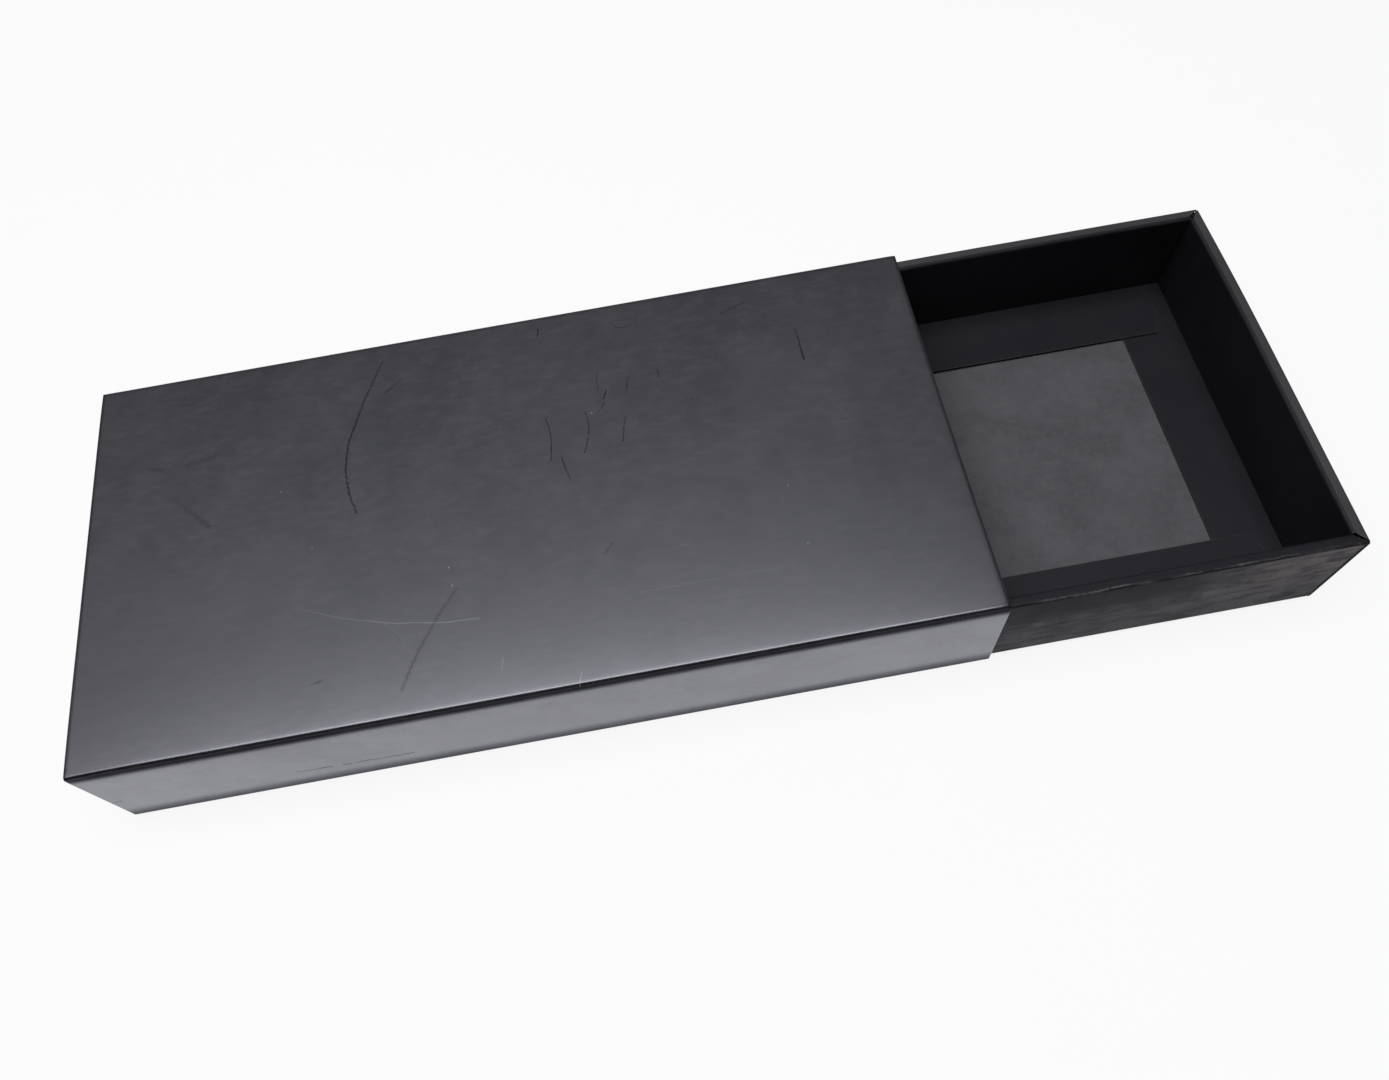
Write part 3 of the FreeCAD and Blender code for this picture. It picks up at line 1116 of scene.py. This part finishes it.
RUBS_ON_TOP = strokes(
    (-36.6, 53.4, -45.9, 30.5, 0.4, 0.95, 0.60, 0.90), (-45.9, 30.5, -45.6, 2.4, 2.5, 0.85, 0.9, 0.75),
    (-19.4, -26.4, -35.4, -52.4, 0.9, 1.0, 0.30, 0.34), (-35.9, 41.8, -31.4, 45.7, 0.0, 1.5, 0.6, 0.4),
    (-97.5, 17.5, -87.1, 6.7, 0.0, 2.3, 0.25, 0.45), (-105.0, 29.0, -101.6, 28.4, 0.0, 2.1, 0.45, 0.45),
    (-93.5, 28.9, -85.5, 30.2, 0.3, 2.2, 0.4, 0.4), (9.7, 22.5, 9.9, 8.3, -0.8, 0.5, 0.8, 0.9),
    (12.8, 9.0, 14.5, 0.9, 0.0, 0.55, 0.9, 0.7), (21.3, 22.2, 19.4, 8.8, -1.2, 0.5, 0.7, 0.8),
    (26.3, 36.3, 25.8, 29.4, 0.3, 0.5, 0.5, 0.6), (28.2, 28.9, 27.0, 26.1, 0.0, 0.6, 0.9, 0.8),
    (24.7, 21.7, 27.1, 24.7, 0.3, 0.5, 0.6, 0.7), (35.1, 32.0, 34.2, 27.5, 0.2, 0.5, 0.8, 0.7),
    (43.8, 33.0, 44.1, 30.2, 0.0, 0.5, 0.8, 0.8), (32.5, 18.5, 30.7, 10.5, 0.2, 0.5, 0.6, 0.8),
    (86.1, 38.9, 86.3, 27.6, 0.0, 0.7, 0.6, 1.0), (65.8, 49.5, 73.3, 51.8, 0.0, 0.6, 0.8, 0.6),
    (10.9, 55.3, 10.3, 52.6, 0.0, 0.8, 0.8, 0.8), (32.6, 53.2, 38.3, 50.7, 1.4, 0.5, 0.6, 0.6),
    (23.4, -21.0, 21.0, -24.3, 0.0, 0.5, 0.4, 0.3), (-58.5, -46.5, -55.7, -45.6, 0.2, 0.5, 0.35, 0.6),
    (51.9, 20.7, 53.9, 20.3, 0.0, 0.5, 0.5, 0.5),
)
SCRATCHES_ON_TOP = strokes(
    (-61.4, -24.2, -14.0, -36.2, 2.5, 0.3, 0.2, 0.65), (-39.7, -32.0, -33.3, -39.9, -0.5, 0.25, 0.2, 0.1),
    (28.7, -37.1, 66.0, -37.1, 0.0, 0.25, 0.25, 0.1), (10.8, -56.3, 9.8, -60.4, 0.0, 0.3, 0.5, 0.9),
    (-8.5, -48.3, -9.3, -51.6, 0.0, 0.3, 0.5, 0.5), (-20.8, -19.8, -20.8, -19.6, 0.0, 0.4, 1.0, 1.0),
    (-20.3, -25.4, -20.3, -25.2, 0.0, 0.45, 1.0, 1.0), (-58.3, -6.4, -58.3, -6.2, 0.0, 0.35, 0.8, 0.8),
    (-66.7, 13.7, -66.7, 13.9, 0.0, 0.35, 0.7, 0.7), (73.3, -13.2, 73.4, -13.1, 0.0, 0.4, 0.9, 0.9),
    (74.7, -31.7, 74.8, -31.6, 0.0, 0.4, 0.9, 0.9), (22.9, 21.8, 23.0, 21.9, 0.0, 0.4, 0.9, 0.9),
)
RUBS_ON_FRONT = strokes(
    (-72.0, 10.9, -62.5, 10.3, 0.1, 0.5, 0.5, 1.0), (-59.5, 10.1, -57.2, 10.0, 0.0, 0.45, 0.9, 0.9),
    (-56.0, 10.0, -40.3, 9.6, 0.1, 0.5, 0.8, 1.0), (-121.3, 13.1, -118.4, 13.6, 0.0, 0.45, 1.0, 0.6),
)
SCUFFS_ON_RIM = strokes(
    (118.0, -58.85, 150.0, -58.8, 0.0, 0.45, 0.2, 0.4), (148.0, -58.8, 182.0, -58.8, 0.0, 0.5, 0.4, 0.5),
    (178.0, -58.8, 214.0, -58.8, 0.0, 0.6, 0.5, 0.35), (196.0, -57.9, 212.0, -58.3, 0.2, 0.4, 0.1, 0.25),
)
SCUFFS_ON_TRAY = strokes(
    (173.4, 31.9, 215.6, 27.2, 2.6, 1.0, 0.3, 0.8), (185.0, 23.9, 188.0, 23.7, 0.0, 1.3, 0.8, 0.7),
    (191.5, 23.5, 196.0, 23.3, 0.0, 1.0, 0.8, 0.6), (198.5, 27.0, 204.5, 26.6, 0.2, 1.4, 1.0, 0.9),
    (208.0, 24.4, 212.5, 24.0, 0.0, 1.2, 0.8, 0.7), (190.0, 28.5, 214.0, 29.8, 0.4, 1.5, 0.2, 0.6),
)


# ---- finishes ----
class Paint(Graph):
    """A material being built, with the shared effects laid at the place on the piece."""

    def __init__(self, name: str, effects: Effects) -> None:
        """Starts the material.

        Args:
            name: The material's name.
            effects: The effects that it may use.
        """
        self.material = bpy.data.materials.new(name)
        self.material.use_nodes = True
        super().__init__(self.material.node_tree)
        self.effects = effects
        self.here = self.place()

    def use(self, effect: bpy.types.NodeTree, **values: object) -> Sequence[Socket]:
        """Adds a shared effect and gives its outputs; the arguments have underscores for spaces."""
        given = {label.replace("_", " "): value for label, value in values.items()}
        return self.node("Group", {"Place": self.here, **given}, node_tree=effect).outputs

    def cloud(self, scale: float) -> Socket:
        """Clouds from 0 to 1, at that many to the metre."""
        return self.use(self.effects.mottle, Scale=scale)["Cloud"]

    def tooth(self, paper: tuple[float, float]) -> Sequence[Socket]:
        """The paper's texture, as a height and as fibres, from its grains and fibres to the metre."""
        grain, fibre = paper
        return self.use(self.effects.tooth, Grain=grain, Fibre=fibre)

    def worn(self, crease_width: float, cut_width: float) -> Sequence[Socket]:
        """The worn patches, from how wide they are by creases and by cut edges, in millimetres."""
        return self.use(self.effects.wear, Crease_width=crease_width, Cut_width=cut_width)

    def dust(self, scale: float, share: float, size: float) -> Socket:
        """Specks: that many squares to the metre, the share of them that have one, and its size in them."""
        return self.use(self.effects.specks, Scale=scale, Share=share, Size=size)["Specks"]

    def marks(self, plane: Socket, marks: Iterable[Stroke], ragged: float) -> object:
        """One mask for a set of marks.

        Args:
            plane: The place in their plane, in millimetres.
            marks: The marks.
            ragged: How unevenly their width goes, from 0 to 1.

        Returns:
            The mask.
        """
        mask: object = 0.0
        for mark in marks:
            values = {label.capitalize(): value for label, value in mark._asdict().items()}
            made = self.use(self.effects.stroke, Place=plane, Ragged=ragged, **values)
            mask = self.most(mask, made["Mask"])
        return mask

    def finish(self, height: Socket, bump: tuple[float, float], **values: object) -> bpy.types.Material:
        """Feeds the shader.

        Args:
            height: How high the surface is, from 0 to 1.
            bump: How strongly that shows, and its depth in metres.
            values: What the shader's inputs get, with underscores for the spaces in their names.

        Returns:
            The finished material.
        """
        inputs = self.tree.nodes["Principled BSDF"].inputs
        strength, distance = bump
        relief = self.node("Bump", {"Height": height, "Strength": strength, "Distance": distance})
        values["Normal"] = relief.outputs[0]
        for label, value in values.items():
            self.feed(inputs[label.replace("_", " ")], value)
        return self.material


@dataclass(frozen=True)
class Finish:
    """What all the finishes have.

    Clouds are given by their numbers to the metre, a paper by its grains and fibres to the metre, dust by
    its squares to the metre, the share of them with a speck and its size in them, and a bump by its
    strength and its depth in metres.
    """

    name: str
    effects: Effects


@dataclass(frozen=True)
class FilmedCard(Finish):
    """Black card under a satin film, rubbed and scratched by handling, and darkened with painted shade."""

    rubs: tuple[Stroke, ...] = ()
    scratches: tuple[Stroke, ...] = ()
    plane: Plane = Plane.TOP
    colour: Colour = (0.0060, 0.0060, 0.0080)
    clouded: Colour = (0.0090, 0.0088, 0.0110)
    scratched: Colour = (0.30, 0.30, 0.33)
    bloom: Colour = (0.021, 0.021, 0.024)
    # the dark colour of the rubs, laid on the painted shade too
    rubbed: Colour = (0.004, 0.004, 0.005)
    bare: Colour = (0.055, 0.055, 0.060)
    tint: tuple[float, ...] = (0.90, 0.91, 1.0, 1.0)
    paper: tuple[float, float] = (1500.0, 420.0)
    clouds: tuple[float, float] = (24.0, 75.0)
    streaks: tuple[float, float, float] = (520.0, 0.40, 0.68)    # how many to the metre, and their range
    dust: tuple[float, float, float] = (75.0, 0.10, 0.22)
    bump: tuple[float, float] = (0.35, 0.015 * MM)
    roughness: float = 0.40
    roughness_spread: float = 0.05
    crease_roughness: float = 0.2
    rub_depth: float = 0.68
    sheen: float = 0.85
    rubbed_sheen: float = 0.05
    edge_rub: float = 0.0                # painted shade: how much the film is darkened along its cut edges
    crease_rub: float = 0.0              # painted shade: the same below the top crease, for the dark room seen in the bend
    crease_width: float = 0.8            # millimetres
    cut_width: float = 0.6
    foot_rub: float = 0.0                # painted shade: the same towards the foot, for the floor's shadow seen in the film
    # between these heights the painted shade at the foot fades out
    foot: tuple[float, float] = (0.5 * MM, 7.5 * MM)
    # between these heights the painted shade below the top crease comes in
    top: tuple[float, float] = (18 * MM, 28 * MM)

    def material(self) -> bpy.types.Material:
        """Builds it.

        Returns:
            The finished material.
        """
        paint = Paint(self.name, self.effects)
        cloud, fog = (paint.cloud(scale) for scale in self.clouds)
        height, fibres = paint.tooth(self.paper)
        wear = paint.worn(self.crease_width, self.cut_width)
        plane = paint.in_plane(self.plane)
        painted_shade = self._dulled(paint, wear)
        scale, low, high = self.streaks
        streaks = paint.noise(paint.vector("MULTIPLY", paint.here, (0.4, 1.0, 1.0)), scale, detail=4.0)
        haze = paint.times(paint.fit(streaks, low, high), paint.raised(0.3, (fog, 0.5)))
        # the rubs' mask carries the painted shade as well as the real rubs
        rubs_and_painted_shade = paint.most(painted_shade, paint.marks(plane, self.rubs, 0.8))
        scratch = paint.marks(plane, self.scratches, 0.6)
        pale = paint.most(scratch, paint.times(paint.dust(*self.dust), 0.5))
        coat = paint.less(self.sheen, paint.times(rubs_and_painted_shade, self.sheen - self.rubbed_sheen))
        return paint.finish(
            paint.times(height, 0.5), self.bump,
            Base_Color=paint.layered(
                self.colour, (self.clouded, cloud), (self.bloom, haze), (self.rubbed, rubs_and_painted_shade, 0.85),
                (self.bare, wear["Crease"], 0.08), (self.bare, wear["Cut"], 0.5), (self.scratched, pale, 0.6),
            ),
            Roughness=paint.raised(
                self.roughness - self.roughness_spread / 2, (cloud, self.roughness_spread), (fog, 0.04),
                (rubs_and_painted_shade, 0.35), (wear["By crease"], self.crease_roughness - self.roughness), (fibres, 0.05),
            ),
            Metallic=paint.most(paint.times(rubs_and_painted_shade, self.rub_depth), painted_shade), IOR=1.8, Specular_Tint=self.tint,
            Coat_Weight=paint.raised(coat, (fog, -0.05)), Coat_Roughness=0.75 * self.roughness,
        )

    def _dulled(self, paint: Paint, wear: Sequence[Socket]) -> Socket:
        """Painted shade: where the film is darkened by its cut edges, at its foot and below its top crease.

        Args:
            paint: The material being built.
            wear: Its worn patches.

        Returns:
            The mask.
        """
        level = paint.parts(paint.here)["Z"]
        # painted shade along the cut edges
        painted_shade = paint.times(wear["By cut"], self.edge_rub)
        # painted shade: darker towards the foot
        if self.foot_rub:
            painted_shade = paint.most(painted_shade, paint.fit(level, *self.foot, self.foot_rub, 0.0))
        # painted shade: the dark band below the top crease
        if self.crease_rub:
            crease_shade = paint.times(wear["By crease"], paint.fit(level, *self.top, 0.0, self.crease_rub))
            painted_shade = paint.most(painted_shade, crease_shade)
        return painted_shade


@dataclass(frozen=True)
class DryCard(Finish):
    """The tray's card: the same black without the gloss, scuffed brown and white where it rubs."""

    scuffs: tuple[Stroke, ...] = ()
    colour: Colour = (0.0055, 0.0057, 0.0076)
    clouded: Colour = (0.0080, 0.0080, 0.0100)
    rubbed: Colour = (0.10, 0.085, 0.080)
    hazed: Colour = (0.145, 0.143, 0.147)
    browned: Colour = (0.170, 0.143, 0.140)
    scuffed: Colour = (0.22, 0.20, 0.20)
    dusty: Colour = (0.35, 0.35, 0.37)
    tint: tuple[float, ...] = (0.92, 0.93, 1.0, 1.0)
    paper: tuple[float, float] = (1900.0, 700.0)
    clouds: float = 45.0
    streaks: tuple[float, float, float] = (420.0, 0.42, 0.68)
    dust: tuple[float, float, float] = (60.0, 0.08, 0.25)
    bump: tuple[float, float] = (0.5, 0.03 * MM)
    roughness: float = 0.60
    gloss: float = 0.35
    crease_wear: float = 0.10
    cut_wear: float = 0.30
    crease_width: float = 0.6            # millimetres
    cut_width: float = 0.5
    plane: Plane = Plane.FRONT
    low_haze: tuple[float, ...] = (17.0, 26.0, 0.29, 0.0)     # from its full height to where it ends
    right_haze: tuple[float, ...] = (158.0, 208.0, 0.0, 0.68)
    right_haze_rise: tuple[float, ...] = (4.0, 30.0, 0.2, 1.0)

    def material(self) -> bpy.types.Material:
        """Builds it.

        Returns:
            The finished material.
        """
        paint = Paint(self.name, self.effects)
        cloud = paint.cloud(self.clouds)
        height = paint.tooth(self.paper)["Height"]
        wear = paint.worn(self.crease_width, self.cut_width)
        colour: object = paint.layered(self.colour, (self.clouded, cloud))
        scuff: object = 0.0
        if self.scuffs:
            plane = paint.in_plane(self.plane)
            scale, low, high = self.streaks
            drawn = paint.vector("MULTIPLY", paint.here, (0.25, 1.0, 1.6))
            streaks = paint.fit(paint.noise(drawn, scale, detail=4.0), low, high)
            scuff = paint.times(paint.marks(plane, self.scuffs, 0.9), streaks)
            if self.plane is Plane.FRONT:
                colour = self._hazed(paint, plane, colour)
        return paint.finish(
            height, self.bump,
            Base_Color=paint.layered(
                colour, (self.rubbed, wear["Crease"], self.crease_wear),
                (self.rubbed, wear["Cut"], self.cut_wear), (self.scuffed, scuff),
                (self.dusty, paint.dust(*self.dust), 0.55),
            ),
            Roughness=paint.raised(self.roughness, (cloud, 0.08), (scuff, 0.2)),
            Specular_IOR_Level=self.gloss, Specular_Tint=self.tint,
        )

    def _hazed(self, paint: Paint, plane: Socket, colour: Socket) -> Socket:
        """Lays a grey haze low on the tray's front, and a brownish one towards its right end.

        Args:
            paint: The material being built.
            plane: The place in the front, in millimetres.
            colour: The colour beneath.

        Returns:
            The hazed colour.
        """
        across, up = paint.parts(plane)["X"], paint.parts(plane)["Y"]
        drawn = paint.vector("MULTIPLY", plane, (0.09, 0.35, 1.0))
        streak = paint.fit(paint.noise(drawn, 1.0, detail=5.0, distortion=0.8), 0.3, 0.7, 0.0, 1.3)
        patchy = paint.raised(streak, (paint.cloud(110.0), 0.8))
        right = paint.times(paint.fit(across, *self.right_haze), paint.fit(up, *self.right_haze_rise))
        low = paint.fit(up, *self.low_haze)
        return paint.layered(colour, (self.hazed, low, patchy), (self.browned, right, patchy))


@dataclass(frozen=True)
class ReverseBoard(Finish):
    """The unprinted side of the card: dull grey fibres."""

    colour: Colour = (0.071, 0.072, 0.077)
    pale: Colour = (0.093, 0.094, 0.100)
    fibre: Colour = (0.15, 0.145, 0.147)
    dusty: Colour = (0.4, 0.4, 0.42)
    paper: tuple[float, float] = (1500.0, 900.0)
    clouds: tuple[float, float] = (60.0, 380.0)
    dust: tuple[float, float, float] = (110.0, 0.05, 0.3)
    bump: tuple[float, float] = (0.7, 0.05 * MM)
    roughness: tuple[float, float] = (0.78, 0.88)
    gloss: float = 0.25

    def material(self) -> bpy.types.Material:
        """Builds it.

        Returns:
            The finished material.
        """
        paint = Paint(self.name, self.effects)
        cloud, fine = (paint.cloud(scale) for scale in self.clouds)
        height, fibres = paint.tooth(self.paper)
        colour = paint.layered(
            self.colour, (self.pale, cloud), (self.fibre, fine, 0.10), (self.fibre, fibres, 0.25),
            (self.dusty, paint.dust(*self.dust), 0.5),
        )
        rough = paint.fit(cloud, 0.0, 1.0, *self.roughness)
        return paint.finish(
            height, self.bump, Base_Color=colour, Roughness=rough, Specular_IOR_Level=self.gloss,
        )


@dataclass(frozen=True)
class CutEdge(Finish):
    """The raw cut edge of the card, where its layers show."""

    colour: Colour = (0.008, 0.008, 0.009)
    frayed: Colour = (0.032, 0.031, 0.031)
    paper: tuple[float, float] = (3000.0, 1500.0)
    clouds: float = 300.0
    bump: tuple[float, float] = (0.8, 0.06 * MM)
    roughness: float = 0.85
    gloss: float = 0.25

    def material(self) -> bpy.types.Material:
        """Builds it.

        Returns:
            The finished material.
        """
        paint = Paint(self.name, self.effects)
        height, fibres = paint.tooth(self.paper)
        colour = paint.layered(
            self.colour, (self.frayed, paint.cloud(self.clouds), paint.sum("ADD", fibres, 0.35)),
        )
        return paint.finish(
            height, self.bump, Base_Color=colour, Roughness=self.roughness, Specular_IOR_Level=self.gloss,
        )


# ---- studio ----
@dataclass(frozen=True)
class Studio:
    """A pale floor, one large soft light overhead, a dim room and the camera."""

    floor_size: float = 12.0
    floor_level: float = -0.05 * MM
    paper: Colour = (0.86, 0.86, 0.86)
    paler: Colour = (0.90, 0.90, 0.90)
    white: Colour = (1.0, 1.0, 1.0)
    nearby: tuple[float, ...] = (-0.106, -0.072, 0.02, 1.0)   # how lit the floor is, in front of the box
    outward: tuple[float, float] = (0.45, 1.3)                # between which its shadows die out
    shadow_share: float = 0.13
    behind: tuple[float, ...] = (0.05, 0.65, 0.02, 0.225)     # how lit the room is, from side to back
    light_size: tuple[float, float] = (1.05, 0.64)
    light_place: tuple[float, float, float] = (-0.12, -0.06, 1.0)
    light_colour: Colour = (0.96, 0.96, 1.0)
    room_colour: Colour = (0.93, 0.94, 1.0)
    light_watts: float = 10.5
    camera_place: tuple[float, float, float] = (0.0404, -0.16218, 0.29733)
    camera_right: tuple[float, float, float] = (0.984, -0.1645, -0.068)
    camera_up: tuple[float, float, float] = (0.1772, 0.8697, 0.4607)
    camera_back: tuple[float, float, float] = (-0.0167, -0.4654, 0.885)
    lens: float = 28.588
    sensor: float = 36.0
    nearest: float = 0.01

    def build(self) -> None:
        """Sets it all up."""
        self._floor()
        self._light()
        self._room()
        self._camera()
        bpy.context.scene.view_settings.view_transform = "Standard"

    def _floor(self) -> None:
        """A plain floor: lit as pale paper is, and shown as white with the box's shadow on it."""
        bpy.ops.object.select_all(action="DESELECT")
        bpy.ops.mesh.primitive_plane_add(size=self.floor_size, location=(0, 0, self.floor_level))
        floor = bpy.context.active_object
        floor.name = "studio_floor"
        material = bpy.data.materials.new("pale_floor")
        material.use_nodes = True
        graph = Graph(material.node_tree)
        graph.tree.nodes.remove(graph.tree.nodes["Principled BSDF"])
        place = graph.place()
        grain = graph.noise(place, 40.0, detail=3.0)
        paper = graph.node("BsdfDiffuse", {"Color": graph.mix(grain, self.paper, self.paler)})
        rays = graph.node("LightPath").outputs
        direct = rays["Is Camera Ray"]
        white = graph.node("Emission", {
            "Color": graph.mix(direct, self.room_colour, self.white),
            "Strength": graph.most(direct, graph.fit(graph.parts(place)["Y"], *self.nearby)),
        })
        seen = graph.most(direct, graph.most(rays["Is Glossy Ray"], rays["Is Transmission Ray"]))
        away = graph.vector("LENGTH", place, out="Value")
        shown = graph.times(seen, graph.fit(away, *self.outward, 1 - self.shadow_share, 1.0))
        mixed = graph.node("MixShader", {0: shown, 1: paper.outputs[0], 2: white.outputs[0]})
        graph.feed(graph.tree.nodes["Material Output"].inputs["Surface"], mixed.outputs[0])
        floor.data.materials.append(material)

    def _light(self) -> None:
        """The soft light overhead."""
        bpy.ops.object.light_add(type="AREA", location=self.light_place)
        lamp = bpy.context.active_object
        lamp.name = "soft_light"
        lamp.data.shape = "RECTANGLE"
        lamp.data.size, lamp.data.size_y = self.light_size
        lamp.data.energy = self.light_watts
        lamp.data.color = self.light_colour

    def _room(self) -> None:
        """A dim room, brighter behind and above than in front, that shows as white."""
        world = bpy.data.worlds.new("room")
        bpy.context.scene.world = world
        world.use_nodes = True
        graph = Graph(world.node_tree)
        background = graph.tree.nodes["Background"].inputs
        way = graph.parts(graph.node("TexCoord").outputs["Generated"])
        camera = graph.node("LightPath").outputs["Is Camera Ray"]
        graph.feed(background["Strength"], graph.most(graph.fit(way["Y"], *self.behind), camera))
        graph.feed(background["Color"], graph.mix(camera, self.room_colour, self.white))

    def _camera(self) -> None:
        """The camera, above the box and in front of it."""
        axes = Matrix((self.camera_right, self.camera_up, self.camera_back)).transposed()
        straight = axes.to_quaternion().to_matrix().to_4x4()
        bpy.ops.object.camera_add()
        camera = bpy.context.active_object
        camera.name = "camera"
        camera.matrix_world = Matrix.Translation(self.camera_place) @ straight
        camera.data.lens, camera.data.sensor_width = self.lens, self.sensor
        camera.data.clip_start = self.nearest
        bpy.context.scene.camera = camera


def main() -> None:
    """Builds the box and the studio."""
    logging.basicConfig(level=logging.INFO, format="%(message)s")
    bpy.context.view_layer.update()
    Studio().build()
    effects = Effects()
    reverse = ReverseBoard("grey_reverse", effects).material()
    cut = CutEdge("card_cut_edge", effects).material()
    film = FilmedCard("black_film", effects).material()
    # painted shade: the top's film is darkened along its cut edges
    top = FilmedCard("black_film_top", effects, RUBS_ON_TOP, SCRATCHES_ON_TOP, edge_rub=0.6).material()
    # painted shade: the front's darker foot and the dark band below its top crease
    front = FilmedCard(
        "black_film_front", effects, RUBS_ON_FRONT, plane=Plane.FRONT, roughness=0.31, rub_depth=0.50,
        sheen=0.80, crease_rub=1.0, foot_rub=0.85, crease_width=2.0,
    ).material()
    dry = DryCard("dry_black_card", effects).material()
    scuffed = DryCard(
        "scuffed_black_card", effects, SCUFFS_ON_TRAY, gloss=0.24, crease_wear=0.4,
    ).material()
    # painted light: a lighter card for the back and end rims than for the front one
    worn = DryCard(
        "handled_black_card", effects, colour=(0.035, 0.035, 0.036), clouded=(0.046, 0.045, 0.045),
    ).material()
    rubbed = DryCard("rubbed_rim_card", effects, SCUFFS_ON_RIM, plane=Plane.TOP).material()
    close_rows = tuple(distance * MM for distance in (0.5, 1.0, 1.6, 2.3, 3.2))
    stiff = Card(inside=0.1 * MM, crease_step=math.radians(6), rows=close_rows)
    Sleeve(stiff, *(Dress(printed, reverse, cut) for printed in (film, top, front))).build()
    Tray(Card(), *(Dress(printed, reverse, cut) for printed in (dry, scuffed, worn, rubbed))).build()


if __name__ == "__main__":
    main()
